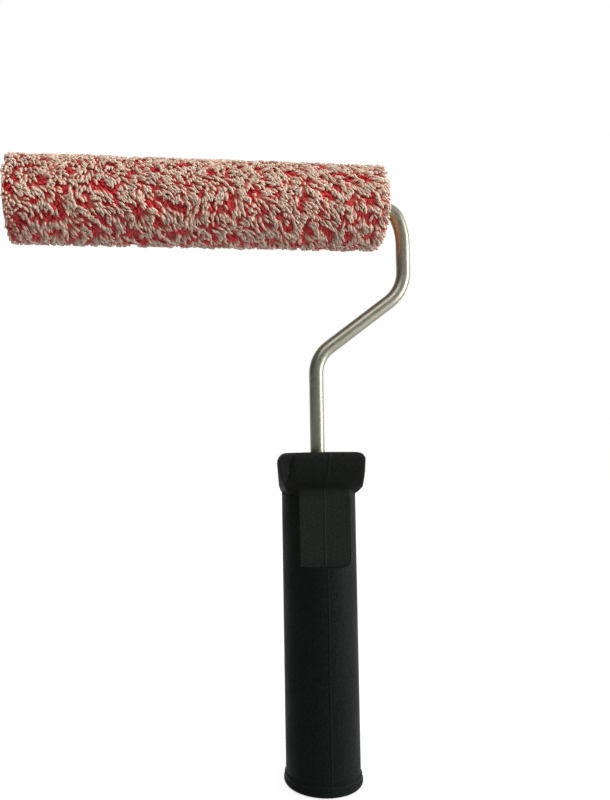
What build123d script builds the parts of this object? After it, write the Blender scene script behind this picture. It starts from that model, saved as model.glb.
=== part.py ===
"""Plush paint roller on a bent-rod frame with a moulded grip.

Millimetres. The origin is the centre of the grip's mouth, where an extension pole enters. +Z runs up the
grip, the roller reaches towards -X, the rod bows out towards +X, and the label flat faces -Y.
Two bodies: the frame (grip, rod and what is fixed on the rod) and the roller that turns on the rod.
"""

import os

from build123d import *

# ------------------------------------------------------------------ driving dimensions

# Fits and running gaps
press_gap = 0.02  # radial, between pieces that are pressed, bonded or moulded together
running_gap = 0.05  # radial, bush on the rod
end_play = 0.4  # axial, between a turning face and a fixed one

# Grip
grip_length = 157.6  # mouth to the top of the collar
grip_radius = 18.0
lip_step = 1.0  # lower step of the base flange, past the barrel
lip_height = 2.8
lip_bottom_round = 1.8
bead_step = 0.6  # upper step of the base flange, past the barrel
bead_height = 2.4
step_round = 0.3
bead_round = 0.5

# Pole socket inside the grip
shell_wall = 2.5
pocket_width = 1.5  # open pockets between the shell and the socket's tube
socket_wall = 2.0
socket_depth = 62.0
pocket_floor = 4.0  # the pockets end this far below the socket's end
rib_count = 8
rib_thickness = 1.6
hollow_step = 3.0  # the blind hollow above the socket is this much narrower in radius
hollow_height = 22.0
rod_seat_floor = 6.0  # plastic between that hollow and the rod

# Label flat, let into the front of the grip
flat_depth = 4.8  # below the barrel's surface
flat_length = 52.0  # collar's top to the flat's lower end
flat_ramp_height = 2.4  # the flat runs out to the round surface over this height
flat_corner_radius = 4.0

# Collar, which stops the hand
collar_height = 20.0
collar_side_step_top = 2.5  # past the barrel
collar_side_step_bottom = 1.0
collar_top_corner = 4.5
collar_bottom_corner = 1.4
collar_front_step = 6.6  # front lip past the barrel
collar_front_taper = 3.0  # each side, from the axis to the front lip
collar_back_step = 1.0
collar_back_corner = 9.0
collar_lip_height = 2.6  # upright edge of the front lip
collar_lip_blend = 3.0  # between the curved underside and the upright edge
collar_lip_round = 1.5
underside_inner_y = 5.0  # where the curved underside starts, in front of the axis
underside_sag = 2.9  # how far the underside bulges from its chord

# Rod
rod_radius = 3.5
ear_reach = 1.7  # pinched ears that lock the rod in the grip, past the rod
ear_thickness = 2.6
ear_height = 6.0
ear_rise = 4.0  # above the rod's lower end
shank_run = 48.1  # collar's top to the lower bend
diagonal_rise = 34.3  # lower bend to the bow's bottom bend
bow_rise = 41.6  # bow's bottom bend to the roller's axis
crank_drop = 11.1  # roller's axis down to the shoulder bend
crank_run = 6.4  # plug's hub face to the crank bend
crank_offset = 4.7  # crank bend out to the bow
crank_bend = 8.0
shoulder_bend = 32.0
bow_bend = 20.0
shank_bend = 16.5
rod_tip_chamfer = 0.6

# Roller
core_length = 180.0
core_near_x = 32.4  # end of the core next to the bow
core_radius = 14.0
core_wall = 1.5
backing_thickness = 0.8
nap_thickness = 7.0  # backing and pile
nap_overhang = 1.0
nap_end_round = 4.0

# End plugs and bearings
plug_flange_thickness = 1.0
plug_web_thickness = 1.6
plug_spigot_depth = 12.0
plug_spigot_wall = 1.8
plug_rib_count = 6
plug_rib_thickness = 1.2
hub_wall = 3.0
hub_depth = 18.0  # from the core's end inwards
near_hub_proud = 2.5  # hub past the core's end, next to the bow
far_hub_proud = 0.8
hub_pocket_step = 1.4  # counterbore in the hub's face, past the bush
near_pocket_depth = 2.8
far_pocket_depth = 9.0
bush_wall = 1.45
near_bush_length = 12.0
far_bush_length = 12.0
washer_width = 2.3  # radial, outside the rod
washer_thickness = 0.8
stop_ring_width = 2.1
stop_ring_thickness = 1.4
push_nut_width = 2.5
push_nut_thickness = 0.8
rod_tip_past_nut = 3.0
cap_thickness = 2.0
cap_edge_chamfer = 0.4

# ------------------------------------------------------------------ derived places

lip_radius = grip_radius + lip_step
bead_radius = grip_radius + bead_step
flange_height = lip_height + bead_height
shell_inner_radius = grip_radius - shell_wall
socket_outer_radius = shell_inner_radius - pocket_width
socket_radius = socket_outer_radius - socket_wall
hollow_top_z = socket_depth + hollow_height
rod_foot_z = hollow_top_z + rod_seat_floor
flat_y = grip_radius - flat_depth
flat_bottom_z = grip_length - flat_length

collar_bottom_z = grip_length - collar_height
barrel_top_z = grip_length - collar_height / 2  # the round barrel ends inside the collar
shank_bend_z = grip_length + shank_run
bow_bottom_z = shank_bend_z + diagonal_rise
axle_z = bow_bottom_z + bow_rise

collar_half_width_top = grip_radius + collar_side_step_top
collar_half_width_bottom = grip_radius + collar_side_step_bottom
collar_front_y = grip_radius + collar_front_step
collar_back_y = grip_radius + collar_back_step

core_far_x = core_near_x - core_length
core_inner_radius = core_radius - core_wall
nap_radius = core_radius + nap_thickness
bush_radius = rod_radius + running_gap + bush_wall
hub_radius = bush_radius + hub_wall
pocket_radius = bush_radius + hub_pocket_step
washer_radius = rod_radius + washer_width
stop_ring_radius = rod_radius + stop_ring_width
push_nut_radius = rod_radius + push_nut_width
ear_span = 2 * (rod_radius + ear_reach)
near_hub_face = core_near_x + near_hub_proud
far_hub_face = core_far_x - far_hub_proud
near_pocket_floor = near_hub_face - near_pocket_depth
far_pocket_floor = far_hub_face + far_pocket_depth

near_washer_face = near_pocket_floor + end_play
stop_ring_face = near_washer_face + washer_thickness
far_washer_face = far_pocket_floor - end_play
push_nut_face = far_washer_face - washer_thickness
rod_tip_x = push_nut_face - push_nut_thickness - rod_tip_past_nut

crank_x = near_hub_face + crank_run
bow_x = crank_x + crank_offset

axle_plane = Plane(origin=(0, 0, axle_z), x_dir=(1, 0, 0), z_dir=(0, -1, 0))
roller_axis = Axis((0, 0, axle_z), (1, 0, 0))


def ring_section(x_a, x_b, inner, outer):
    """Rectangle between two places along the roller's axis and two radii, in a sketch on axle_plane."""
    with Locations(((x_a + x_b) / 2, (inner + outer) / 2)):
        Rectangle(abs(x_b - x_a), outer - inner)


def write(piece, name):
    """Label a finished piece and write its file."""
    piece.part.label = name
    export_step(piece.part, f"parts/{name}.step")


os.makedirs("parts", exist_ok=True)

# ------------------------------------------------------------------ grip

# Label flat: its depth and run-out from the side, its rounded lower corners from the front
flat_half_width = (grip_radius**2 - flat_y**2) ** 0.5
flat_foot_z = flat_bottom_z - flat_ramp_height

with BuildPart() as flat_cutter:
    with BuildSketch(Plane.YZ) as flat_side:
        with BuildLine():
            Polyline(
                (-flat_y, barrel_top_z),
                (-flat_y, flat_bottom_z),
                (-grip_radius, flat_foot_z),
                (-lip_radius - 1, flat_foot_z),
                (-lip_radius - 1, barrel_top_z),
                close=True,
            )
        make_face()
    extrude(amount=lip_radius, both=True)
    with BuildSketch(Plane.XZ) as flat_front:
        with BuildLine():
            Polyline(
                (-flat_half_width, flat_foot_z),
                (flat_half_width, flat_foot_z),
                (flat_half_width, barrel_top_z),
                (-flat_half_width, barrel_top_z),
                close=True,
            )
        make_face()
        fillet(flat_front.vertices().group_by(Axis.Y)[0], radius=flat_corner_radius)
    extrude(amount=lip_radius + 1, mode=Mode.INTERSECT)

# Collar: side profile with its bulged underside, cut to its plan and to its front outline
underside_start = Vector(-underside_inner_y, collar_bottom_z)
underside_end = Vector(-collar_front_y, grip_length - collar_lip_height)
underside_chord = underside_end - underside_start
underside_normal = Vector(-underside_chord.Y, underside_chord.X).normalized()
underside_middle = (underside_start + underside_end) * 0.5 + underside_normal * underside_sag

# The tapering sides run on past the front lip, so that the side profile alone shapes the lip
nose_overrun = 2.0
collar_nose_y = collar_front_y + nose_overrun
collar_nose_half_width = collar_half_width_top - collar_front_taper * collar_nose_y / collar_front_y

with BuildPart() as collar_block:
    with BuildSketch(Plane.YZ) as collar_side:
        with BuildLine():
            ThreePointArc(
                (underside_start.X, underside_start.Y),
                (underside_middle.X, underside_middle.Y),
                (underside_end.X, underside_end.Y),
            )
            Polyline(
                (underside_end.X, underside_end.Y),
                (-collar_front_y, grip_length),
                (collar_back_y, grip_length),
                (collar_back_y, collar_bottom_z),
                (underside_start.X, underside_start.Y),
            )
        make_face()
        fillet(collar_side.vertices().group_by(Axis.Y)[-1], radius=collar_lip_round)
        lip_corner = collar_side.vertices().sort_by_distance((underside_end.X, underside_end.Y))[0]
        fillet(lip_corner, radius=collar_lip_blend)
    extrude(amount=collar_half_width_top + 1, both=True)
    with BuildSketch(Plane.XY.offset(collar_bottom_z)) as collar_plan:
        with BuildLine():
            Polyline(
                (-collar_nose_half_width, -collar_nose_y),
                (collar_nose_half_width, -collar_nose_y),
                (collar_half_width_top, 0),
                (collar_half_width_top, collar_back_y + 1),
                (-collar_half_width_top, collar_back_y + 1),
                (-collar_half_width_top, 0),
                close=True,
            )
        make_face()
        fillet(collar_plan.vertices().group_by(Axis.Y)[-1], radius=collar_back_corner)
    extrude(amount=collar_height, mode=Mode.INTERSECT)
    with BuildSketch(Plane.XZ) as collar_front:
        with BuildLine():
            Polyline(
                (-collar_half_width_bottom, collar_bottom_z),
                (collar_half_width_bottom, collar_bottom_z),
                (collar_half_width_top, grip_length),
                (-collar_half_width_top, grip_length),
                close=True,
            )
        make_face()
        fillet(collar_front.vertices().group_by(Axis.Y)[-1], radius=collar_top_corner)
        fillet(collar_front.vertices().group_by(Axis.Y)[0], radius=collar_bottom_corner)
    extrude(amount=collar_front_y + 1, both=True, mode=Mode.INTERSECT)

with BuildPart() as grip:
    # base flange in two steps
    with BuildSketch(Plane.XY):
        Circle(lip_radius)
    extrude(amount=lip_height)
    fillet(grip.edges().filter_by(GeomType.CIRCLE).sort_by(Axis.Z)[0], radius=lip_bottom_round)
    fillet(grip.edges().filter_by(GeomType.CIRCLE).sort_by(Axis.Z)[-1], radius=step_round)
    with BuildSketch(Plane.XY.offset(lip_height)):
        Circle(bead_radius)
    extrude(amount=bead_height)
    fillet(grip.edges().filter_by(GeomType.CIRCLE).sort_by(Axis.Z)[-1], radius=bead_round)
    # barrel, with the label flat cut into it before the collar closes its top
    with BuildSketch(Plane.XY.offset(lip_height)):
        Circle(grip_radius)
    extrude(amount=barrel_top_z - lip_height)
    add(flat_cutter, mode=Mode.SUBTRACT)
    add(collar_block)
    # pole socket, the hollow above it and the pockets round its tube
    with BuildSketch(Plane.XY):
        Circle(socket_radius)
    extrude(amount=socket_depth, mode=Mode.SUBTRACT)
    with BuildSketch(Plane.XY.offset(socket_depth)):
        Circle(socket_radius - hollow_step)
    extrude(amount=hollow_height, mode=Mode.SUBTRACT)
    with BuildSketch(Plane.XY):
        Circle(shell_inner_radius)
        Circle(socket_outer_radius, mode=Mode.SUBTRACT)
        with PolarLocations(shell_inner_radius, rib_count):
            Rectangle(4 * pocket_width, rib_thickness, mode=Mode.SUBTRACT)
    extrude(amount=socket_depth - pocket_floor, mode=Mode.SUBTRACT)
    # seat of the rod and of its ears
    with BuildSketch(Plane.XY.offset(rod_foot_z - press_gap)):
        Circle(rod_radius + press_gap)
    extrude(amount=grip_length - rod_foot_z + 1, mode=Mode.SUBTRACT)
    with BuildSketch(Plane.XY.offset(rod_foot_z + ear_rise - press_gap)):
        Rectangle(ear_span + 2 * press_gap, ear_thickness + 2 * press_gap)
    extrude(amount=ear_height + 2 * press_gap, mode=Mode.SUBTRACT)

write(grip, "grip")

# ------------------------------------------------------------------ rod and what is fixed on it

with BuildPart() as frame_rod:
    with BuildLine(Plane.XZ) as rod_route:
        FilletPolyline(
            (rod_tip_x, axle_z),
            (crank_x, axle_z),
            (bow_x, axle_z - crank_drop),
            (bow_x, bow_bottom_z),
            (0, shank_bend_z),
            (0, rod_foot_z),
            radius=[crank_bend, shoulder_bend, bow_bend, shank_bend],
        )
    with BuildSketch(Plane(origin=(rod_tip_x, 0, axle_z), z_dir=(1, 0, 0))):
        Circle(rod_radius)
    sweep()
    chamfer(frame_rod.edges().filter_by(GeomType.CIRCLE).sort_by(Axis.X)[0], length=rod_tip_chamfer)
    with BuildSketch(Plane.XY.offset(rod_foot_z + ear_rise)):
        Rectangle(ear_span, ear_thickness)
    extrude(amount=ear_height)

write(frame_rod, "frame_rod")

with BuildPart() as rod_stop_ring:
    with BuildSketch(axle_plane):
        ring_section(stop_ring_face, stop_ring_face + stop_ring_thickness, rod_radius + press_gap, stop_ring_radius)
    revolve(axis=roller_axis)

write(rod_stop_ring, "rod_stop_ring")

with BuildPart() as near_thrust_washer:
    with BuildSketch(axle_plane):
        ring_section(near_washer_face, stop_ring_face, rod_radius + press_gap, washer_radius)
    revolve(axis=roller_axis)

write(near_thrust_washer, "near_thrust_washer")

with BuildPart() as far_thrust_washer:
    with BuildSketch(axle_plane):
        ring_section(far_washer_face, push_nut_face, rod_radius + press_gap, washer_radius)
    revolve(axis=roller_axis)

write(far_thrust_washer, "far_thrust_washer")

with BuildPart() as push_nut:
    with BuildSketch(axle_plane):
        ring_section(push_nut_face, push_nut_face - push_nut_thickness, rod_radius + press_gap, push_nut_radius)
    revolve(axis=roller_axis)

write(push_nut, "push_nut")

# ------------------------------------------------------------------ roller sleeve

with BuildPart() as core_tube:
    with BuildSketch(axle_plane):
        ring_section(core_far_x, core_near_x, core_inner_radius, core_radius)
    revolve(axis=roller_axis)

write(core_tube, "core_tube")

backing_inner = core_radius + press_gap
backing_outer = backing_inner + backing_thickness

with BuildPart() as fabric_backing:
    with BuildSketch(axle_plane):
        ring_section(core_far_x, core_near_x, backing_inner, backing_outer)
    revolve(axis=roller_axis)

write(fabric_backing, "fabric_backing")

with BuildPart() as pile:
    with BuildSketch(axle_plane) as pile_section:
        ring_section(
            core_far_x - nap_overhang, core_near_x + nap_overhang, backing_outer + press_gap, nap_radius
        )
        fillet(pile_section.vertices().group_by(Axis.Y)[-1], radius=nap_end_round)
    revolve(axis=roller_axis)

write(pile, "pile")

# ------------------------------------------------------------------ end plugs, bushes and cap

spigot_radius = core_inner_radius - press_gap


def plug_body(core_end, outward, hub_face, pocket_floor):
    """Plug that is pressed into one end of the core. outward is +1 at the near end and -1 at the far end."""
    with BuildPart() as plug:
        with BuildSketch(axle_plane):
            ring_section(hub_face, core_end - outward * hub_depth, bush_radius + press_gap, hub_radius)
            ring_section(core_end + outward * plug_flange_thickness, core_end, hub_radius - 1, core_radius)
            ring_section(core_end, core_end - outward * plug_web_thickness, hub_radius - 1, spigot_radius)
            ring_section(
                core_end, core_end - outward * plug_spigot_depth, spigot_radius - plug_spigot_wall, spigot_radius
            )
            with Locations(((hub_face + pocket_floor) / 2, (bush_radius + pocket_radius) / 2)):
                Rectangle(abs(hub_face - pocket_floor), pocket_radius - bush_radius, mode=Mode.SUBTRACT)
        revolve(axis=roller_axis)
        rib_inner = hub_radius - 0.5
        rib_outer = spigot_radius - plug_spigot_wall / 2
        rib_plane = Plane(origin=(core_end, 0, axle_z), x_dir=(0, 1, 0), z_dir=(-outward, 0, 0))
        with BuildSketch(rib_plane):
            with PolarLocations((rib_inner + rib_outer) / 2, plug_rib_count):
                Rectangle(rib_outer - rib_inner, plug_rib_thickness)
        extrude(amount=plug_spigot_depth)
    return plug


write(plug_body(core_near_x, 1, near_hub_face, near_pocket_floor), "near_end_plug")
write(plug_body(core_far_x, -1, far_hub_face, far_pocket_floor), "far_end_plug")

with BuildPart() as near_bush:
    with BuildSketch(axle_plane):
        ring_section(
            near_pocket_floor, near_pocket_floor - near_bush_length, rod_radius + running_gap, bush_radius
        )
    revolve(axis=roller_axis)

write(near_bush, "near_bush")

with BuildPart() as far_bush:
    with BuildSketch(axle_plane):
        ring_section(
            far_pocket_floor, far_pocket_floor + far_bush_length, rod_radius + running_gap, bush_radius
        )
    revolve(axis=roller_axis)

write(far_bush, "far_bush")

with BuildPart() as far_end_cap:
    with BuildSketch(axle_plane):
        ring_section(far_hub_face, far_hub_face + cap_thickness, 0, pocket_radius - press_gap)
    revolve(axis=roller_axis)
    chamfer(far_end_cap.edges().filter_by(GeomType.CIRCLE).sort_by(Axis.X)[0], length=cap_edge_chamfer)

write(far_end_cap, "far_end_cap")
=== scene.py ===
"""Looks of the plush paint roller: camera, studio, the nap's fingers, the grip's moulding, and materials.

Metres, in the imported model's frame: +Z up the grip, the roller reaches towards -X, the label flat faces -Y.
"""

import math

import bmesh
import bpy
import numpy as np
from mathutils import Matrix, Vector
from mathutils.bvhtree import BVHTree


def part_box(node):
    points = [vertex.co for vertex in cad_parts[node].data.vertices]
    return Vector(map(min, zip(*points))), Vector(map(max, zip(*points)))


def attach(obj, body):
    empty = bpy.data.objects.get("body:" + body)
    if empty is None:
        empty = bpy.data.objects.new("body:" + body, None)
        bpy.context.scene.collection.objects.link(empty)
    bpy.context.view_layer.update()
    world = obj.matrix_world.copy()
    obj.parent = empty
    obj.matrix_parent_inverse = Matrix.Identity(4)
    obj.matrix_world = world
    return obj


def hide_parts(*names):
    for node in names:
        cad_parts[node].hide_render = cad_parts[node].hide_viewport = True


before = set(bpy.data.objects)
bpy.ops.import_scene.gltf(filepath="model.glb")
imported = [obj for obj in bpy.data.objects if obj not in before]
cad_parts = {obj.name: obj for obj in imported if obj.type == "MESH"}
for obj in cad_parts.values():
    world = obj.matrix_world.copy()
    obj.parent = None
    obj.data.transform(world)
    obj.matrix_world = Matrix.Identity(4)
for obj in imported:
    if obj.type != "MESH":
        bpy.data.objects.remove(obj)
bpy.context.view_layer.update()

MM = 0.001
SEED = 20261

# ------------------------------------------------------------------ camera

CAMERA_PLACE = Vector((-0.07543, -0.3409, 0.15755))
CAMERA_RIGHT = Vector((0.99365, -0.11182, -0.01265))
CAMERA_UP = Vector((0.00696, -0.05114, 0.99867))
CAMERA_FORWARD = Vector((0.11232, 0.99241, 0.05004))
CAMERA_SENSOR = 36.0
CAMERA_LENS = 31.57
CAMERA_SHIFT = (0.0774, 0.0252)

camera_data = bpy.data.cameras.new("camera")
camera_data.sensor_width = CAMERA_SENSOR
camera_data.lens = CAMERA_LENS
camera_data.shift_x, camera_data.shift_y = CAMERA_SHIFT
camera_data.clip_start = 0.01
camera = bpy.data.objects.new("camera", camera_data)
rotation = Matrix((CAMERA_RIGHT, CAMERA_UP, -CAMERA_FORWARD)).transposed()
camera.matrix_world = Matrix.Translation(CAMERA_PLACE) @ rotation.to_4x4()
bpy.context.scene.collection.objects.link(camera)
bpy.context.scene.camera = camera
bpy.context.scene.view_settings.view_transform = "Standard"


# ------------------------------------------------------------------ node helpers


class Nodes:
    """A material's node tree with short calls for what the materials below share."""

    def __init__(self, name):
        self.material = bpy.data.materials.new(name)
        self.material.use_nodes = True
        self.tree = self.material.node_tree
        self.tree.nodes.clear()
        self.shader = self.tree.nodes.new("ShaderNodeBsdfPrincipled")
        output = self.tree.nodes.new("ShaderNodeOutputMaterial")
        self.link(self.shader.outputs[0], output.inputs["Surface"])
        coordinates = self.tree.nodes.new("ShaderNodeTexCoord")
        self.object = coordinates.outputs["Object"]

    def link(self, output, socket):
        self.tree.links.new(output, socket)

    def set(self, **values):
        """Sets uniform values straight on the shader's sockets; an underscore stands for a space."""
        for name, value in values.items():
            self.shader.inputs[name.replace("_", " ")].default_value = value

    def attribute(self, name):
        node = self.tree.nodes.new("ShaderNodeAttribute")
        node.attribute_name = name
        return node

    def stretched(self, vector, scale):
        node = self.tree.nodes.new("ShaderNodeMapping")
        node.inputs["Scale"].default_value = scale
        self.link(vector, node.inputs["Vector"])
        return node.outputs[0]

    def noise(self, vector, scale, detail=2.0, rough=0.5):
        node = self.tree.nodes.new("ShaderNodeTexNoise")
        node.inputs["Scale"].default_value = scale
        node.inputs["Detail"].default_value = detail
        node.inputs["Roughness"].default_value = rough
        self.link(vector, node.inputs["Vector"])
        return node.outputs["Fac"]

    def cells(self, vector, scale):
        node = self.tree.nodes.new("ShaderNodeTexVoronoi")
        node.inputs["Scale"].default_value = scale
        self.link(vector, node.inputs["Vector"])
        return node.outputs["Distance"]

    def spread(self, value, low, high, to_low=0.0, to_high=1.0):
        node = self.tree.nodes.new("ShaderNodeMapRange")
        for name, number in zip(("From Min", "From Max", "To Min", "To Max"), (low, high, to_low, to_high)):
            node.inputs[name].default_value = number
        self.link(value, node.inputs["Value"])
        return node.outputs[0]

    def mixed(self, factor, first, second, blend="MIX"):
        """Mixes two colours; each is a tuple or an output."""
        node = self.tree.nodes.new("ShaderNodeMix")
        node.data_type = "RGBA"
        node.blend_type = blend
        for socket, value in ((node.inputs[0], factor), (node.inputs[6], first), (node.inputs[7], second)):
            if isinstance(value, (tuple, float, int)):
                socket.default_value = (*value, 1.0) if isinstance(value, tuple) else value
            else:
                self.link(value, socket)
        return node.outputs[2]

    def maths(self, operation, first, second):
        node = self.tree.nodes.new("ShaderNodeMath")
        node.operation = operation
        self.link(first, node.inputs[0])
        self.link(second, node.inputs[1])
        return node.outputs[0]

    def bumped(self, *layers):
        """Each layer is a height output and its depth in metres."""
        normal = None
        for height, depth in layers:
            node = self.tree.nodes.new("ShaderNodeBump")
            node.inputs["Distance"].default_value = depth
            self.link(height, node.inputs["Height"])
            if normal is not None:
                self.link(normal, node.inputs["Normal"])
            normal = node.outputs[0]
        self.link(normal, self.shader.inputs["Normal"])

    def colour(self, output):
        self.link(output, self.shader.inputs["Base Color"])

    def roughness(self, output):
        self.link(output, self.shader.inputs["Roughness"])


# ------------------------------------------------------------------ studio

FLOOR_HALF = 3.0
FLOOR_DROP = 0.0002
FLOOR_TONE = (0.26, 0.26, 0.26)
FLOOR_NEAR_SHINE = 0.82
FLOOR_NEAR, FLOOR_FAR = 0.12, 0.75
BRIGHT_SIDE = Vector((0.66, 0.34, 0.67)).normalized()


def studio_surface(name, tone, near_shine):
    """Pale surface that the camera, gloss and glass see as white, and that still keeps a soft shadow.

    It glows less near the object, where the lamps light it, so that the shadow shows there."""
    n = Nodes(name)
    n.set(Roughness=0.9)
    n.colour(n.mixed(n.noise(n.object, 3.0), tuple(c * 0.97 for c in tone), tone))
    paths = n.tree.nodes.new("ShaderNodeLightPath")
    seen = n.maths("MAXIMUM", paths.outputs["Is Camera Ray"], paths.outputs["Is Glossy Ray"])
    seen = n.maths("MAXIMUM", seen, paths.outputs["Is Transmission Ray"])
    length = n.tree.nodes.new("ShaderNodeVectorMath")
    length.operation = "LENGTH"
    n.link(n.object, length.inputs[0])
    shine = n.spread(length.outputs["Value"], FLOOR_NEAR, FLOOR_FAR, near_shine, 1.0)
    n.set(Emission_Color=(1.0, 1.0, 1.0, 1.0))
    n.link(n.maths("MULTIPLY", seen, shine), n.shader.inputs["Emission Strength"])
    return n.material


def studio_world():
    """White to the camera, and to mirrored and refracted rays that go on towards +Y, behind the object; to all
    other rays a soft gradient, brightest from BRIGHT_SIDE."""
    world = bpy.data.worlds.new("studio")
    world.use_nodes = True
    tree = world.node_tree
    tree.nodes.clear()

    def added(kind, **inputs):
        node = tree.nodes.new(kind)
        for name, value in inputs.items():
            node.inputs[name.replace("_", " ")].default_value = value
        return node

    def maths(operation, first, second):
        node = added("ShaderNodeMath")
        node.operation = operation
        tree.links.new(first, node.inputs[0])
        tree.links.new(second, node.inputs[1])
        return node.outputs["Value"]

    direction = added("ShaderNodeTexCoord").outputs["Generated"]
    towards = added("ShaderNodeVectorMath")
    towards.operation = "DOT_PRODUCT"
    towards.inputs[1].default_value = BRIGHT_SIDE
    tree.links.new(direction, towards.inputs[0])
    gradient = added("ShaderNodeMapRange", From_Min=-0.45, From_Max=0.95, To_Min=0.12, To_Max=0.95)
    gradient.interpolation_type = "SMOOTHSTEP"
    tree.links.new(towards.outputs["Value"], gradient.inputs["Value"])

    axes = added("ShaderNodeSeparateXYZ")
    tree.links.new(direction, axes.inputs[0])
    behind_object = added("ShaderNodeMapRange", From_Min=0.45, From_Max=0.95, To_Min=0.0, To_Max=1.0)
    tree.links.new(axes.outputs["Y"], behind_object.inputs["Value"])
    paths = added("ShaderNodeLightPath")
    mirrored = maths("MAXIMUM", paths.outputs["Is Glossy Ray"], paths.outputs["Is Transmission Ray"])
    mirrored = maths("MULTIPLY", mirrored, behind_object.outputs["Result"])

    strength = added("ShaderNodeMix", B=1.0)
    tree.links.new(maths("MAXIMUM", paths.outputs["Is Camera Ray"], mirrored), strength.inputs["Factor"])
    tree.links.new(gradient.outputs["Result"], strength.inputs["A"])
    background = added("ShaderNodeBackground", Color=(1.0, 1.0, 1.0, 1.0))
    tree.links.new(strength.outputs["Result"], background.inputs["Strength"])
    tree.links.new(background.outputs[0], added("ShaderNodeOutputWorld").inputs["Surface"])
    return world


def softbox(name, place, aim, width, height, power):
    data = bpy.data.lights.new(name, "AREA")
    data.shape = "RECTANGLE"
    data.size, data.size_y = width, height
    data.energy = power
    lamp = bpy.data.objects.new(name, data)
    lamp.location = place
    lamp.rotation_euler = (Vector(aim) - Vector(place)).to_track_quat("-Z", "Y").to_euler()
    bpy.context.scene.collection.objects.link(lamp)


floor_corners = [(x * FLOOR_HALF, y * FLOOR_HALF, 0) for x, y in ((-1, -1), (1, -1), (1, 1), (-1, 1))]
floor_mesh = bpy.data.meshes.new("floor")
floor_mesh.from_pydata(floor_corners, [], [(0, 1, 2, 3)])
floor_mesh.materials.append(studio_surface("floor_white", FLOOR_TONE, FLOOR_NEAR_SHINE))
floor = bpy.data.objects.new("floor", floor_mesh)
floor.location.z = -FLOOR_DROP
bpy.context.scene.collection.objects.link(floor)

bpy.context.scene.world = studio_world()
softbox("key", (0.88, -0.28, 0.32), (0.0, 0.0, 0.15), width=0.34, height=0.7, power=10.8)
softbox("top", (-0.12, -0.72, 0.95), (-0.05, 0.0, 0.26), width=0.8, height=0.4, power=4.0)

# ------------------------------------------------------------------ nap

# The nap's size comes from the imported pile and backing
pile_low, pile_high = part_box("pile")
backing_low, backing_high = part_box("fabric_backing")
AXLE_Z = (pile_low.z + pile_high.z) / 2
NAP_RADIUS = (pile_high.z - pile_low.z) / 2
BACKING_RADIUS = (backing_high.z - backing_low.z) / 2
NAP_LEFT, NAP_RIGHT = pile_low.x, pile_high.x
END_ROUND = 2.4 * MM
# The fingers at the grip's end stand out past the pile's bonded length
END_SPREAD = 1.0 * MM
ROW_STEP, AROUND = 1.46 * MM, 102
ROOT_MARGIN, ROOT_LIMIT, ROOT_JITTER = 1.1 * MM, 0.9 * MM, 0.30 * MM

# The fingers lie over from +X towards the way that the angle on the roller grows, with swirls; reaches, drops
# and finger radii are in millimetres
LEAN_HEADING = math.radians(56)
REACH_MEAN, REACH_LOW, REACH_HIGH = 4.7, 2.4, 7.2
FINGER_MEAN, FINGER_SPREAD, FINGER_LOW, FINGER_HIGH = 0.68, 0.11, 0.42, 0.95
ROOT_LIFT, TIP_LEAST_LIFT, TIP_INSET = 0.35 * MM, 1.2 * MM, 0.1 * MM
END_LENGTH, END_LEAN = 6 * MM, 2.2 * MM

# Red fingers stand in patches, fewer on top and at the ends, and a little lower than the cream ones
RED_SHARE = 0.38
RED_PATCH = 3.6 * MM
RED_DROP, CREAM_DROP = 0.70, -0.25

# Salt of each random field
WIDE_SWIRLS, SWIRLS, REACHES, PATCHES, FLECKS, DROPS, TONES, SHELL_BUMPS = 1, 2, 3, 5, 6, 7, 9, 11
FIELD_TERMS = 28

# A finger is rings round its bent middle line, at these shares of its length, with these shares of its radius
SIDES = 5
RING_SHARES = np.array([0.0, 0.36, 0.72, 0.95])
RING_WIDTHS = np.array([0.7, 1.0, 0.95, 0.55])
RINGS = len(RING_SHARES)
PER_TUFT = RINGS * SIDES + 2

# Linear colours at a finger's root, middle and tip, which stand at these shares of its length; the roots are
# darker and redder than the tips as painted shade down among the fingers
COLOUR_SHARES = [0.15, 0.50, 0.80]
CREAM = np.array([[0.88, 0.17, 0.13], [0.89, 0.35, 0.26], [0.78, 0.65, 0.51]])
RED = np.array([[0.48, 0.014, 0.018], [0.60, 0.018, 0.024], [0.78, 0.036, 0.042]])

# The closed ring that the fingers grow from, which fills the nap's packed lower fibres; its darker colour is
# painted shade
SHELL_AROUND, SHELL_ALONG = 128, 120
SHELL_ROWS = SHELL_ALONG + 2
SHELL_INSET, SHELL_LIFT, SHELL_END_DROP = 0.45 * MM, 4.0 * MM, 1.6 * MM

rng = np.random.default_rng(SEED)


def smooth_field(x, theta, feature, salt):
    """Seeded random field on the cylinder, about -1 to 1, with features of about that many metres."""
    r = np.random.default_rng(SEED + salt)
    total = np.zeros_like(x)
    turn = 2 * math.pi * NAP_RADIUS
    for _ in range(FIELD_TERMS):
        angle = r.uniform(0, 2 * math.pi)
        size = feature * r.uniform(0.7, 1.6) * 2.0
        along = 2 * math.pi * math.cos(angle) / size
        around = round(turn * math.sin(angle) / size)
        total += np.cos(along * x + around * theta + r.uniform(0, 2 * math.pi))
    return total * math.sqrt(2.0 / FIELD_TERMS) * 0.6


def nap_surface(x):
    """Outer radius of the nap at a place along the axle, with its rounded ends."""
    from_end = np.minimum(x - NAP_LEFT, NAP_RIGHT + END_SPREAD - x)
    inside = np.clip((END_ROUND - from_end) / END_ROUND, 0, 1)
    return NAP_RADIUS - END_ROUND * (1 - np.sqrt(1 - inside**2))


def on_roller(x, theta, r):
    """Points from place along the axle, angle about +X from straight up, and radius."""
    return np.stack([x, -r * np.sin(theta), AXLE_Z + r * np.cos(theta)], axis=-1)


def grid(rows, columns):
    """Row and column numbers of every place in a grid, row by row."""
    return (index.ravel() for index in np.meshgrid(np.arange(rows), np.arange(columns), indexing="ij"))


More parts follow.
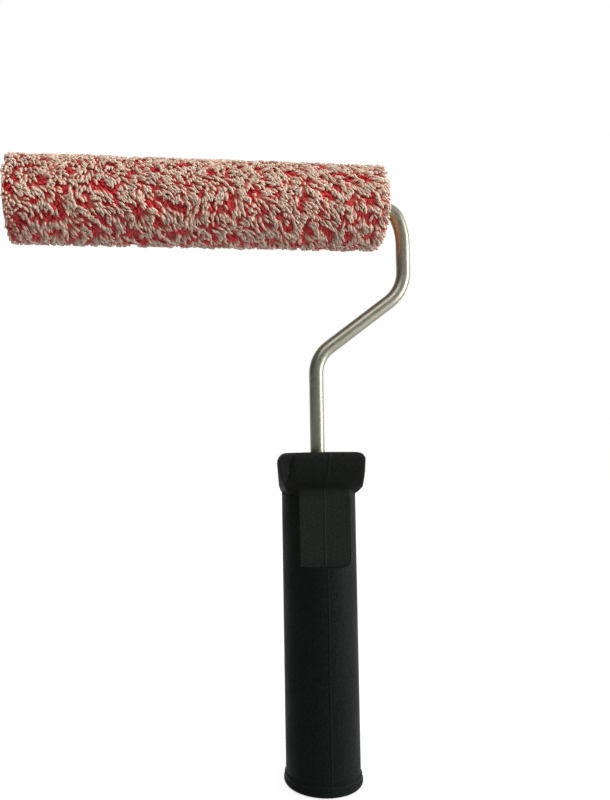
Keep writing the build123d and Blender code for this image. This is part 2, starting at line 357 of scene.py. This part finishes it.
def tuft_roots():
    """Place along the axle and angle of each finger's root, on staggered rows that are slightly upset."""
    rows = int(round((NAP_RIGHT - NAP_LEFT - 2 * ROOT_MARGIN) / ROW_STEP))
    row, in_row = grid(rows, AROUND)
    x = NAP_LEFT + ROOT_MARGIN + (row + 0.5) * ROW_STEP
    theta = (in_row + 0.5 * (row % 2)) * 2 * math.pi / AROUND
    x = x + rng.normal(0, ROOT_JITTER, x.size)
    theta = theta + rng.normal(0, ROOT_JITTER / NAP_RADIUS, x.size)
    return np.clip(x, NAP_LEFT + ROOT_LIMIT, NAP_RIGHT - ROOT_LIMIT), theta


root_x, root_t = tuft_roots()
count = root_x.size


def field(feature, salt):
    """Smooth field at the fingers' roots."""
    return smooth_field(root_x, root_t, feature, salt)


# 1 at either end of the nap, falling to 0 at END_LENGTH from it
end_pull = np.clip(1 - np.minimum(root_x - NAP_LEFT, NAP_RIGHT - root_x) / END_LENGTH, 0, 1)
end_side = np.where(root_x < (NAP_LEFT + NAP_RIGHT) / 2, -1.0, 1.0)


def tuft_lean():
    """How far each tip lies from its root, along the axle in metres and round it in radians."""
    swirl = field(14 * MM, WIDE_SWIRLS) * 0.45 + field(4.2 * MM, SWIRLS) * 0.62
    heading = LEAN_HEADING + swirl + rng.normal(0, 0.16, count)
    reach = REACH_MEAN + 1.1 * field(6 * MM, REACHES) + rng.normal(0, 0.8, count)
    reach = np.clip(reach, REACH_LOW, REACH_HIGH) * MM
    along = np.cos(heading) * reach * (1 - end_pull) + end_side * end_pull * END_LEAN
    return along, np.sin(heading) * reach * (1 - 0.4 * end_pull) / NAP_RADIUS


lean_x, lean_t = tuft_lean()
tip_x = np.clip(root_x + lean_x, NAP_LEFT + TIP_INSET, NAP_RIGHT + END_SPREAD)
tip_t = root_t + lean_t

redness = field(RED_PATCH, PATCHES) + 0.40 * field(1.9 * MM, FLECKS)
redness += rng.normal(0, 0.16, count) - 0.32 * np.cos(root_t) - 0.9 * end_pull
is_red = redness > np.quantile(redness, 1 - RED_SHARE)

drop = np.abs(rng.normal(0, 0.30, count)) * MM + np.where(is_red, RED_DROP, CREAM_DROP) * MM
drop += 0.25 * MM * (1 + field(5 * MM, DROPS))
tip_r = np.maximum(nap_surface(tip_x) - drop, BACKING_RADIUS + TIP_LEAST_LIFT)
root_r = np.full(count, BACKING_RADIUS + ROOT_LIFT)


def middle_lines(s):
    """Middle line of every finger at share s of its length, steep at the root and lying over at the tip."""
    bend = s**1.25
    rise = 1 - (1 - s) ** 2.4
    x = root_x + (tip_x - root_x) * bend
    theta = root_t + (tip_t - root_t) * bend
    return on_roller(x, theta, root_r + (tip_r - root_r) * rise)


def tuft_points():
    """Points of every finger: its rings from the root up, its apex, and the middle of its root."""
    radius = np.clip(rng.normal(FINGER_MEAN, FINGER_SPREAD, count), FINGER_LOW, FINGER_HIGH) * MM
    roll = rng.uniform(0, 2 * math.pi, count)
    centres = np.stack([middle_lines(s) for s in RING_SHARES], axis=1)
    nearby = [(middle_lines(min(s + 0.02, 1.0)), middle_lines(max(s - 0.02, 0.0))) for s in RING_SHARES]
    ahead = np.stack([above - below for above, below in nearby], axis=1)
    ahead /= np.linalg.norm(ahead, axis=2, keepdims=True)
    side = np.cross(ahead, np.array([1.0, 0.0, 0.0]))
    side /= np.linalg.norm(side, axis=2, keepdims=True)
    other = np.cross(ahead, side)
    turned = (np.arange(SIDES) * 2 * math.pi / SIDES)[None, :] + roll[:, None]
    outward = np.cos(turned)[:, None, :, None] * side[:, :, None, :]
    outward = outward + np.sin(turned)[:, None, :, None] * other[:, :, None, :]
    ring = centres[:, :, None, :] + (radius[:, None] * RING_WIDTHS[None, :])[:, :, None, None] * outward
    parts = [ring.reshape(count, RINGS * SIDES, 3), middle_lines(1.0)[:, None, :], centres[:, :1, :]]
    return np.concatenate(parts, axis=1)


def tuft_faces():
    """Quads and triangles of all fingers, as vertex numbers."""
    apex, foot, last = RINGS * SIDES, RINGS * SIDES + 1, (RINGS - 1) * SIDES
    quads, tris = [], []
    for ring in range(RINGS - 1):
        for k in range(SIDES):
            a, b = ring * SIDES + k, ring * SIDES + (k + 1) % SIDES
            quads.append((a, b, b + SIDES, a + SIDES))
    for k in range(SIDES):
        tris.append((last + k, last + (k + 1) % SIDES, apex))
        tris.append(((k + 1) % SIDES, k, foot))
    first = np.arange(count)[:, None, None] * PER_TUFT
    return (first + np.array(quads)[None]).reshape(-1, 4), (first + np.array(tris)[None]).reshape(-1, 3)


def graded(stops, share):
    """Colour at a share of the length from three stops: root, middle and tip."""
    return np.stack([np.interp(share, COLOUR_SHARES, stops[:, c]) for c in range(3)], axis=-1)


def tuft_colours():
    """Colour of every finger's points, red or cream, each finger a little lighter or darker."""
    tone = rng.normal(0, 1, count) * 0.5 + field(11 * MM, TONES) * 0.5
    share = np.tile(share_of_point, (count, 1))
    colour = np.where(is_red[:, None, None], graded(RED, share), graded(CREAM, share))
    return np.clip(colour * (1 + 0.13 * tone[:, None, None]), 0, 1)


def shell_rings():
    """Points of the shell, ring by ring, and their angles: its outside between its two inner edges."""
    theta = np.arange(SHELL_AROUND) * 2 * math.pi / SHELL_AROUND
    inner = BACKING_RADIUS + 0.02 * MM
    outside = np.linspace(NAP_LEFT + SHELL_INSET, NAP_RIGHT - SHELL_INSET, SHELL_ALONG)
    rings = [on_roller(np.full(SHELL_AROUND, outside[0]), theta, np.full(SHELL_AROUND, inner))]
    for i, x in enumerate(outside):
        xs = np.full(SHELL_AROUND, x)
        r = BACKING_RADIUS + SHELL_LIFT + 0.30 * MM * smooth_field(xs, theta, 3 * MM, SHELL_BUMPS)
        if i in (0, SHELL_ALONG - 1):
            r = r - SHELL_END_DROP
        rings.append(on_roller(xs, theta, r))
    rings.append(on_roller(np.full(SHELL_AROUND, outside[-1]), theta, np.full(SHELL_AROUND, inner)))
    return np.concatenate(rings), np.tile(theta, len(rings))


def shell_faces():
    """Quads of the shell, closed round its section and round the roller; its points follow the fingers'."""
    ring, k = grid(SHELL_ROWS, SHELL_AROUND)
    row, next_row = ring * SHELL_AROUND, (ring + 1) % SHELL_ROWS * SHELL_AROUND
    next_k = (k + 1) % SHELL_AROUND
    return np.stack([row + k, next_row + k, next_row + next_k, row + next_k], axis=1) + count * PER_TUFT


share_of_point = np.concatenate([np.repeat(RING_SHARES, SIDES), [1.0, 0.0]])
finger_points = tuft_points()
finger_colours = tuft_colours()
shell_points, shell_turns = shell_rings()
faces = [*tuft_faces(), shell_faces()]

nap_points = np.concatenate([finger_points.reshape(-1, 3), shell_points])
loops = np.concatenate([some.ravel() for some in faces])
face_sizes = np.concatenate([np.full(len(some), some.shape[1]) for some in faces])
nap_mesh = bpy.data.meshes.new("pile_tufts")
nap_mesh.vertices.add(len(nap_points))
nap_mesh.vertices.foreach_set("co", nap_points.astype(np.float32).ravel())
nap_mesh.loops.add(len(loops))
nap_mesh.loops.foreach_set("vertex_index", loops.astype(np.int32))
nap_mesh.polygons.add(len(face_sizes))
face_starts = np.concatenate([[0], np.cumsum(face_sizes)[:-1]])
nap_mesh.polygons.foreach_set("loop_start", face_starts.astype(np.int32))
nap_mesh.update(calc_edges=True)
nap_mesh.polygons.foreach_set("use_smooth", np.ones(len(face_sizes), dtype=bool))

# The shell is darker than the fingers, painted shade down among them, and has red where the red patches are
shell_red = smooth_field(shell_points[:, 0], shell_turns, RED_PATCH, PATCHES) > 0.2
point_colours = np.ones((len(nap_points), 4), dtype=np.float32)
point_colours[: count * PER_TUFT, :3] = finger_colours.reshape(-1, 3)
shell_shaded_cream = (CREAM[0] + CREAM[1]) * 0.47
point_colours[count * PER_TUFT :, :3] = np.where(shell_red[:, None], RED[0] * 1.2, shell_shaded_cream)
colour_attribute = nap_mesh.color_attributes.new("tuft_colour", "FLOAT_COLOR", "POINT")
colour_attribute.data.foreach_set("color", point_colours.ravel())

# Two UV maps: OFBake, with a cell per finger and a strip for the shell, and Fibre, along the fibres
GRID = int(math.ceil(math.sqrt(count * 1.06)))
SHELL_STRIP = 0.05
CELL, CELL_EDGE = (1.0 - SHELL_STRIP) / GRID, 0.12


def add_uv_map(name, u, v):
    uv_map = nap_mesh.uv_layers.new(name=name)
    uv_map.data.foreach_set("uv", np.stack([u, v], axis=1).astype(np.float32).ravel())


def round_share():
    """Share of the way round the finger at each face corner; the last side's far edge is at 1, not 0."""
    of_point = np.full(PER_TUFT, 0.5)
    of_point[: RINGS * SIDES] = np.tile(np.arange(SIDES), RINGS) / SIDES
    share = of_point[loops % PER_TUFT]
    face_of_corner = np.repeat(np.arange(len(face_sizes)), face_sizes)
    high = np.zeros(len(face_sizes))
    np.maximum.at(high, face_of_corner, share)
    low = np.ones(len(face_sizes))
    np.minimum.at(low, face_of_corner, share)
    wraps = (high - low)[face_of_corner] > 0.6
    return np.where(wraps & (share < 0.01), 1.0, share)


tuft, in_tuft = loops // PER_TUFT, loops < count * PER_TUFT
u, v = round_share(), share_of_point[loops % PER_TUFT]
shell_row, shell_column = np.divmod(loops - count * PER_TUFT, SHELL_AROUND)
shell_u, shell_v = shell_row / SHELL_ROWS, shell_column / SHELL_AROUND
cell_u = (tuft % GRID) * CELL + CELL * (CELL_EDGE + (1 - 2 * CELL_EDGE) * u)
cell_v = (tuft // GRID) * CELL + CELL * (CELL_EDGE + (1 - 2 * CELL_EDGE) * v)
strip_v = 1.0 - SHELL_STRIP * 0.98 + SHELL_STRIP * 0.96 * shell_v
add_uv_map("OFBake", np.where(in_tuft, cell_u, shell_u), np.where(in_tuft, cell_v, strip_v))
# Each finger starts elsewhere in the fibres' noise
fibre_u = np.where(in_tuft, u + (tuft % 97) * 1.37, shell_u * 60)
fibre_v = np.where(in_tuft, v + (tuft % 89) * 2.11, shell_v * 60)
add_uv_map("Fibre", fibre_u, fibre_v)
nap_mesh.validate()


def pile_fabric():
    n = Nodes("pile_fabric")
    fibre = n.tree.nodes.new("ShaderNodeUVMap")
    fibre.uv_map = "Fibre"
    strands = n.noise(n.stretched(fibre.outputs[0], (9.0, 1.1, 1.0)), 1.0, 3.0, 0.6)
    # The strands are darker where their bump dips: painted shade between them
    shade = n.mixed(n.spread(strands, 0.3, 0.7), (0.90, 0.84, 0.82), (1.0, 1.0, 1.0))
    n.colour(n.mixed(1.0, n.attribute("tuft_colour").outputs["Color"], shade, "MULTIPLY"))
    n.bumped((strands, 0.16 * MM))
    n.set(Roughness=0.50, Sheen_Weight=0.15, Sheen_Roughness=0.4, Specular_IOR_Level=0.5)
    n.set(Subsurface_Weight=0.10, Subsurface_Scale=0.9 * MM)
    return n.material


nap_mesh.materials.append(pile_fabric())
pile = bpy.data.objects.new("pile_tufts", nap_mesh)
bpy.context.scene.collection.objects.link(pile)
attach(pile, "roller")
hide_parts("pile")

# ------------------------------------------------------------------ grip

# The grip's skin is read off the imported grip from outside, then its moulded edges are rounded and its
# parting line raised; inside are the pole socket, its pockets and ribs, and the rod's seat, in real sizes
grip_low, grip_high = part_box("grip")
GRIP_TOP = grip_high.z
BARREL_RADIUS = 18.0 * MM
BORE_RADIUS, BORE_DEPTH = 12.0 * MM, 62.0 * MM
TUBE_OUTER, SHELL_INNER, POCKET_DEPTH = 14.0 * MM, 15.5 * MM, 58.0 * MM
HOLLOW_RADIUS, HOLLOW_TOP = 9.0 * MM, 84.0 * MM
SEAT_RADIUS, SEAT_FLOOR, SEAT_LEAD = 3.52 * MM, 89.98 * MM, 0.5 * MM
RIB_COUNT, RIB_HALF_ANGLE = 8, 0.8 / 14.75
FIRST_RIB = math.pi / 8

# The label flat: its edges, the ledge at its foot with a rounded +X corner, and the bead on its +X edge
FLAT_DEPTH, FLAT_FOOT, FLAT_TOP = 13.2 * MM, 104.4 * MM, 140.2 * MM
FLAT_EDGE = math.acos(FLAT_DEPTH / BARREL_RADIUS)
# Turn in radians from the flat's edge to the column next to it
EDGE_STEP = 0.02
LEDGE_LOW, LEDGE_HIGH, LEDGE_RISE = 100 * MM, 108 * MM, 0.8 * MM
FOOT_CORNER_START, FOOT_CORNER_WIDTH, FOOT_CORNER_RISE = 8.5 * MM, 3.8 * MM, 2.6 * MM
BEAD_LOW, BEAD_HIGH, BEAD_HALF_WIDTH, BEAD_HEIGHT = 107 * MM, 137 * MM, 0.3 * MM, 0.20 * MM

# The collar: its front reach, its back, and its half width, which tapers to the front, with rounded corners
COLLAR_FOOT = GRIP_TOP - 20.0 * MM
COLLAR_REACH, COLLAR_BACK = -grip_low.y, grip_high.y
COLLAR_HALF_WIDTH, COLLAR_TAPER = 20.5 * MM, 3.0 * MM
CORNER, EDGE_ROUND = 3.8 * MM, 0.7 * MM
LOWER_CORNER, LOWER_CORNER_DEPTH = 8.5 * MM, 4.675 * MM
DOME_HEIGHT, DOME_LIFT, DOME_MIDDLE_LIFT, DOME_HALF_WIDTH = 12.0 * MM, 0.75 * MM, 0.3 * MM, 19 * MM

# The parting line: its height at these distances from its middle
SEAM_OFFSETS, SEAM_HEIGHTS = np.array([0.0, 0.2, 0.42]) * MM, np.array([0.17, 0.12, 0.0]) * MM

# Paleness: full on the flat, moulded texture there and painted light where the flat reaches up under the
# collar; less on the collar's front, painted light; below 0 on the collar's sides, which lose their shine as
# painted shade
FLAT_TEXTURE_AND_LIGHT, FRONT_PAINTED_LIGHT, SIDE_PAINTED_SHADE = 1.0, 0.65, -0.8

# Heights of the skin's rings, as runs of start, end and step in millimetres
LEVEL_RUNS = (
    (0.0, 2.0, 0.16), (2.0, 3.4, 0.14), (3.4, 4.4, 0.3), (4.4, 5.6, 0.12),
    (5.6, 101.0, 4.0), (101.0, 104.2, 0.8), (104.2, 105.4, 0.12), (105.4, 108.0, 0.25),
    (108.0, 137.0, 1.5), (137.0, 138.4, 0.14), (138.4, 153.0, 0.35), (153.0, 157.6, 0.2),
)
EVEN_COLUMNS, COLUMN_GAP = 224, 0.012


def ring_heights():
    """Heights of the skin's rings; each run leaves its end to the next, and the last ring is at the top."""
    counts = [max(2, int(round((high - low) / step)) + 1) for low, high, step in LEVEL_RUNS]
    runs = [np.linspace(low, high, n)[:-1] for (low, high, _), n in zip(LEVEL_RUNS, counts)]
    return np.append(np.concatenate(runs) * MM, GRIP_TOP)


def column_angles():
    """Angles about +Z from the front: even ones, and those of the parting line, flat's edges and ribs."""
    seam = np.array([-0.75, -0.42, -0.2, 0.0, 0.2, 0.42, 0.75]) * MM / BARREL_RADIUS
    flat = np.array([FLAT_EDGE, FLAT_EDGE + EDGE_STEP])
    rib = np.arange(RIB_COUNT) * math.tau / RIB_COUNT + FIRST_RIB
    fixed = [seam, seam + math.pi, flat, -flat, rib - RIB_HALF_ANGLE, rib + RIB_HALF_ANGLE]
    fixed = np.concatenate(fixed) % math.tau
    even = np.arange(EVEN_COLUMNS) * math.tau / EVEN_COLUMNS
    gap = np.abs((even[:, None] - fixed[None] + math.pi) % math.tau - math.pi).min(axis=1)
    return np.sort(np.concatenate([even[gap > COLUMN_GAP], fixed]))


level = ring_heights()
columns = column_angles()
wide = len(columns)
sine, cosine = np.sin(columns), np.cos(columns)
sideways = np.maximum(np.abs(sine), 1e-3)

flat_skin = np.minimum(BARREL_RADIUS, FLAT_DEPTH / np.maximum(cosine, 0.5))
foot_corner = np.clip((BARREL_RADIUS * sine - FOOT_CORNER_START) / FOOT_CORNER_WIDTH, 0, 1)
ledge_foot = FLAT_FOOT + FOOT_CORNER_RISE * (1 - np.sqrt(1 - foot_corner**2))


def packed_skin():
    """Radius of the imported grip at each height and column, found by rays from outside."""
    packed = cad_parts["grip"].data
    tree = BVHTree.FromPolygons([v.co for v in packed.vertices], [p.vertices for p in packed.polygons])
    found = np.zeros((len(level), wide))
    for i, z in enumerate(level):
        height = Vector((0, 0, min(max(z, 0.03 * MM), GRIP_TOP - 0.03 * MM)))
        for k, angle in enumerate(columns):
            out = Vector((math.sin(angle), -math.cos(angle), 0.0))
            found[i, k] = tree.ray_cast(out * 0.06 + height, -out)[0].xy.length
    return found


def dress_flat(skin):
    """Turns the flat's foot into a ledge and adds a slight bead along the flat's +X edge."""
    near_foot = (level > LEDGE_LOW) & (level < LEDGE_HIGH)
    share_up = np.clip((level[near_foot, None] - ledge_foot) / LEDGE_RISE, 0, 1)
    skin[near_foot] = BARREL_RADIUS + (flat_skin - BARREL_RADIUS) * share_up
    bead = np.exp(-(((columns - FLAT_EDGE - EDGE_STEP) * BARREL_RADIUS / BEAD_HALF_WIDTH) ** 2))
    beaded = np.clip((level - BEAD_LOW) / MM, 0, 1) * (level < BEAD_HIGH)
    skin += beaded[:, None] * bead[None] * BEAD_HEIGHT


def round_collar_back(skin):
    """Makes the collar's back a half ellipse, as wide as its sides at each height."""
    side_column = int(np.argmin(np.abs(columns - math.pi / 2)))
    for i in np.flatnonzero(level > COLLAR_FOOT):
        ellipse = 1 / np.hypot(sine / skin[i, side_column], cosine / COLLAR_BACK)
        skin[i] = np.where(cosine < 0, np.minimum(skin[i], ellipse), skin[i])


def soften(skin, where, passes):
    """Averages each radius with its neighbours up, down and round, as far as where says (0 to 1)."""
    for _ in range(passes):
        up = np.vstack([skin[:1], skin[:-1]])
        down = np.vstack([skin[1:], skin[-1:]])
        mean = (up + down + np.roll(skin, 1, 1) + np.roll(skin, -1, 1)) / 4
        skin += (mean - skin) * 0.6 * where[:, None]


def round_collar_corners(skin):
    """Rounds the collar's corners as seen from the front, and its top edge."""
    for i, z in enumerate(level):
        over = np.clip((z - (GRIP_TOP - CORNER)) / CORNER, 0, 1)
        if over > 0:
            taper = COLLAR_TAPER * np.clip(skin[i] * cosine, 0, None) / COLLAR_REACH
            half_width = COLLAR_HALF_WIDTH - taper - CORNER * (1 - math.sqrt(1 - over**2))
            skin[i] = np.minimum(skin[i], half_width / sideways)
        under = (COLLAR_FOOT + LOWER_CORNER - z) / LOWER_CORNER
        if 0 < under < 1:
            widest = (skin[i] * sideways).max() - LOWER_CORNER_DEPTH * (1 - math.sqrt(1 - under**2))
            skin[i] = np.minimum(skin[i], np.maximum(widest / sideways, BARREL_RADIUS))
        over = np.clip((z - (GRIP_TOP - EDGE_ROUND)) / EDGE_ROUND, 0, 1)
        skin[i] -= EDGE_ROUND * (1 - math.sqrt(1 - over**2))


skin = packed_skin()
dress_flat(skin)
round_collar_back(skin)
soften(skin, np.clip((level - (COLLAR_FOOT - 0.1 * MM)) / (0.6 * MM), 0, 1), 3)
round_collar_corners(skin)
seam_distance = np.abs((columns + math.pi / 2) % math.pi - math.pi / 2) * BARREL_RADIUS
skin += np.interp(seam_distance, SEAM_OFFSETS, SEAM_HEIGHTS)[None]


def level_ring(r, z):
    """One ring of grip points at radius r (a number or one per column) and height z."""
    r = np.broadcast_to(r, columns.shape)
    return np.stack([r * sine, -r * cosine, np.full(columns.shape, z)], axis=1)


grip_rings = [level_ring(skin[i], z) for i, z in enumerate(level)]
grip_rings += [level_ring(SEAT_RADIUS + SEAT_LEAD, GRIP_TOP), level_ring(SEAT_RADIUS, GRIP_TOP - SEAT_LEAD)]
grip_rings.append(level_ring(SEAT_RADIUS, SEAT_FLOOR))
mouth = len(grip_rings)
inner_rings = {
    "shell_foot": (SHELL_INNER, 0.0),
    "shell_roof": (SHELL_INNER, POCKET_DEPTH),
    "tube_roof": (TUBE_OUTER, POCKET_DEPTH),
    "tube_foot": (TUBE_OUTER, 0.0),
    "bore_foot": (BORE_RADIUS, 0.0),
    "bore_roof": (BORE_RADIUS, BORE_DEPTH),
    "hollow_foot": (HOLLOW_RADIUS, BORE_DEPTH),
    "hollow_roof": (HOLLOW_RADIUS, HOLLOW_TOP),
}
ring_number = {name: mouth + i for i, name in enumerate(inner_rings)}
grip_rings += [level_ring(r, z) for r, z in inner_rings.values()]
grip_points = np.concatenate(grip_rings + [[(0, 0, SEAT_FLOOR), (0, 0, HOLLOW_TOP)]])
seat_middle, hollow_middle = len(grip_points) - 2, len(grip_points) - 1
grip_faces = []

# A column is a rib's where the middle of the step to the next column lies within the rib
wrapped = np.where(np.roll(columns, -1) < columns, math.tau, 0)
middle = (columns + np.roll(columns, -1) + wrapped) / 2 % math.tau
rib_step = math.tau / RIB_COUNT
from_rib = (middle - FIRST_RIB + rib_step / 2) % rib_step - rib_step / 2
is_rib = np.abs(from_rib) < RIB_HALF_ANGLE
pockets, ribs = np.flatnonzero(~is_rib).tolist(), np.flatnonzero(is_rib).tolist()


def outer_band(lower, upper):
    """Quads between two of the skin's or the seat's rings."""
    for k in range(wide):
        k2 = (k + 1) % wide
        grip_faces.append((lower * wide + k, lower * wide + k2, upper * wide + k2, upper * wide + k))


def inner_band(lower, upper, only=range(wide)):
    """Quads between two rings inside the grip; only says which columns."""
    for k in only:
        k2 = (k + 1) % wide
        grip_faces.append((upper * wide + k, upper * wide + k2, lower * wide + k2, lower * wide + k))


RIB_CORNERS = ("shell_foot", "shell_roof", "tube_roof", "tube_foot")
for i in range(mouth - 1):
    outer_band(i, i + 1)
inner_band(0, ring_number["shell_foot"])
inner_band(ring_number["shell_foot"], ring_number["shell_roof"], pockets)
inner_band(ring_number["shell_roof"], ring_number["tube_roof"], pockets)
inner_band(ring_number["tube_roof"], ring_number["tube_foot"], pockets)
inner_band(ring_number["shell_foot"], ring_number["tube_foot"], ribs)
for k in range(wide):
    if is_rib[k] != is_rib[k - 1]:
        rib_side = tuple(ring_number[name] * wide + k for name in RIB_CORNERS)
        grip_faces.append(rib_side if is_rib[k] else rib_side[::-1])
inner_band(ring_number["tube_foot"], ring_number["bore_foot"])
inner_band(ring_number["bore_foot"], ring_number["bore_roof"])
inner_band(ring_number["bore_roof"], ring_number["hollow_foot"])
inner_band(ring_number["hollow_foot"], ring_number["hollow_roof"])
floor_ring, roof = mouth - 1, ring_number["hollow_roof"]
for k in range(wide):
    k2 = (k + 1) % wide
    grip_faces.append((floor_ring * wide + k, floor_ring * wide + k2, seat_middle))
    grip_faces.append((roof * wide + k2, roof * wide + k, hollow_middle))

# The collar's top is slightly domed, most in its middle
dome = np.clip((grip_points[:, 2] - (GRIP_TOP - DOME_HEIGHT)) / DOME_HEIGHT, 0, None) ** 2
from_middle = (grip_points[:, 0] / DOME_HALF_WIDTH) ** 2
grip_points[:, 2] += dome * (DOME_LIFT + DOME_MIDDLE_LIFT * (1 - from_middle))


def skin_texture_and_light():
    """Paleness at each point of the skin: painted light on the collar's front and painted shade on its sides,
    by the way that the collar faces there, and moulded texture with painted light on the flat.
    """
    turn_step = (np.roll(columns, -1) - np.roll(columns, 1)) % math.tau
    slope = (np.roll(skin, -1, 1) - np.roll(skin, 1, 1)) / turn_step / skin
    facing = columns - np.arctan(slope)
    collar = np.where(np.cos(facing) > 0, FRONT_PAINTED_LIGHT, 0.0)
    collar = np.where(np.abs(np.sin(facing)) > 0.8, SIDE_PAINTED_SHADE, collar)
    texture_and_light = np.where((level > COLLAR_FOOT + 0.5 * MM)[:, None], collar, 0.0)
    in_flat = (level[:, None] > ledge_foot[None] + 0.5 * MM) & (flat_skin < BARREL_RADIUS - 0.1 * MM)[None]
    texture_and_light[in_flat & (level < FLAT_TOP)[:, None]] = FLAT_TEXTURE_AND_LIGHT
    return texture_and_light


texture_and_light = np.zeros(len(grip_points))
texture_and_light[: skin.size] = skin_texture_and_light().ravel()
grip_mesh = bpy.data.meshes.new("grip_moulding")
grip_mesh.from_pydata(grip_points.tolist(), [], grip_faces)
grip_mesh.attributes.new("texture_and_light", "FLOAT", "POINT").data.foreach_set("value", texture_and_light.astype(np.float32))
# The roof points over the ribs carry no faces and go
sculpt = bmesh.new()
sculpt.from_mesh(grip_mesh)
bmesh.ops.delete(sculpt, geom=[v for v in sculpt.verts if not v.link_faces], context="VERTS")
bmesh.ops.recalc_face_normals(sculpt, faces=sculpt.faces)
sculpt.to_mesh(grip_mesh)
sculpt.free()
grip_mesh.polygons.foreach_set("use_smooth", [True] * len(grip_mesh.polygons))
grip_mesh.set_sharp_from_angle(angle=math.radians(48))


def grip_plastic():
    """Black plastic, which is paler towards a point value of 1, as moulded texture and painted light, and
    loses its shine towards -1, as painted shade.
    """
    n = Nodes("grip_plastic")
    texture_and_light_value = n.attribute("texture_and_light").outputs["Fac"]
    mottle = n.noise(n.object, 1050.0, 2.0, 0.6)
    grain = n.noise(n.object, 3200.0, 2.0, 0.6)
    cloud = n.noise(n.object, 60.0, 3.0, 0.6)
    patch = n.spread(mottle, 0.35, 0.65)
    # The paler colour is moulded texture on the flat and painted light on the collar's front and under the
    # collar
    smooth = n.mixed(patch, (0.0058, 0.0074, 0.0064), (0.0108, 0.0130, 0.0112))
    rough = n.mixed(patch, (0.0125, 0.0142, 0.0118), (0.0200, 0.0220, 0.0180))
    n.colour(n.mixed(n.spread(texture_and_light_value, 0.0, 1.0), smooth, rough))
    n.roughness(n.spread(cloud, 0.35, 0.65, 0.44, 0.56))
    n.bumped((mottle, 0.16 * MM), (grain, 0.04 * MM))
    n.link(n.spread(texture_and_light_value, -1.0, 0.0, 0.0, 0.032), n.shader.inputs["Specular IOR Level"])
    return n.material


grip_mesh.materials.append(grip_plastic())
grip = bpy.data.objects.new("grip_moulding", grip_mesh)
bpy.context.scene.collection.objects.link(grip)
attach(grip, "frame")
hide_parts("grip")

# ------------------------------------------------------------------ materials of the CAD nodes


def rod_steel(name, tint):
    n = Nodes(name)
    n.set(Metallic=1.0)
    spangle = n.noise(n.object, 420.0, 3.0, 0.55)
    fine = n.noise(n.object, 2400.0)
    n.colour(n.mixed(n.spread(spangle, 0.3, 0.7), tuple(c * 0.92 for c in tint), tint))
    n.roughness(n.spread(spangle, 0.3, 0.7, 0.36, 0.44))
    n.bumped((spangle, 0.010 * MM), (fine, 0.004 * MM))
    return n.material


def moulded(name, low, high, rough):
    n = Nodes(name)
    cloud = n.noise(n.object, 120.0, 3.0, 0.6)
    fine = n.noise(n.object, 1800.0)
    n.colour(n.mixed(n.spread(cloud, 0.3, 0.7), low, high))
    n.roughness(n.spread(fine, 0.3, 0.7, rough - 0.06, rough + 0.06))
    n.bumped((fine, 0.03 * MM))
    return n.material


def knitted(name):
    n = Nodes(name)
    stitches = n.cells(n.object, 900.0)
    # Darker between the stitches, where the bump dips: painted shade in the hollows
    n.colour(n.mixed(n.spread(stitches, 0.1, 0.6), (0.74, 0.66, 0.56), (0.42, 0.33, 0.27)))
    n.roughness(n.spread(stitches, 0.1, 0.6, 0.75, 0.92))
    n.bumped((stitches, -0.12 * MM))
    return n.material


NODES_OF_LOOK = (
    # The rod's tint is far darker than plated steel's: its olive hue is the plating's, its darkness painted
    # shade for the dim reflections along it
    (rod_steel("rod_steel", (0.25, 0.243, 0.19)), ("frame_rod",)),
    (
        rod_steel("small_steel", (0.62, 0.62, 0.61)),
        ("rod_stop_ring", "near_thrust_washer", "far_thrust_washer", "push_nut"),
    ),
    (moulded("core_plastic", (0.62, 0.62, 0.60), (0.72, 0.72, 0.70), 0.5), ("core_tube",)),
    (knitted("backing_fabric"), ("fabric_backing",)),
    (
        moulded("plug_plastic", (0.70, 0.33, 0.12), (0.80, 0.41, 0.17), 0.42),
        ("near_end_plug", "far_end_plug", "far_end_cap"),
    ),
    (moulded("bush_plastic", (0.82, 0.82, 0.79), (0.90, 0.90, 0.88), 0.35), ("near_bush", "far_bush")),
)
for material, nodes in NODES_OF_LOOK:
    for node in nodes:
        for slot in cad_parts[node].material_slots:
            slot.material = material

# ------------------------------------------------------------------ update

bpy.context.view_layer.update()
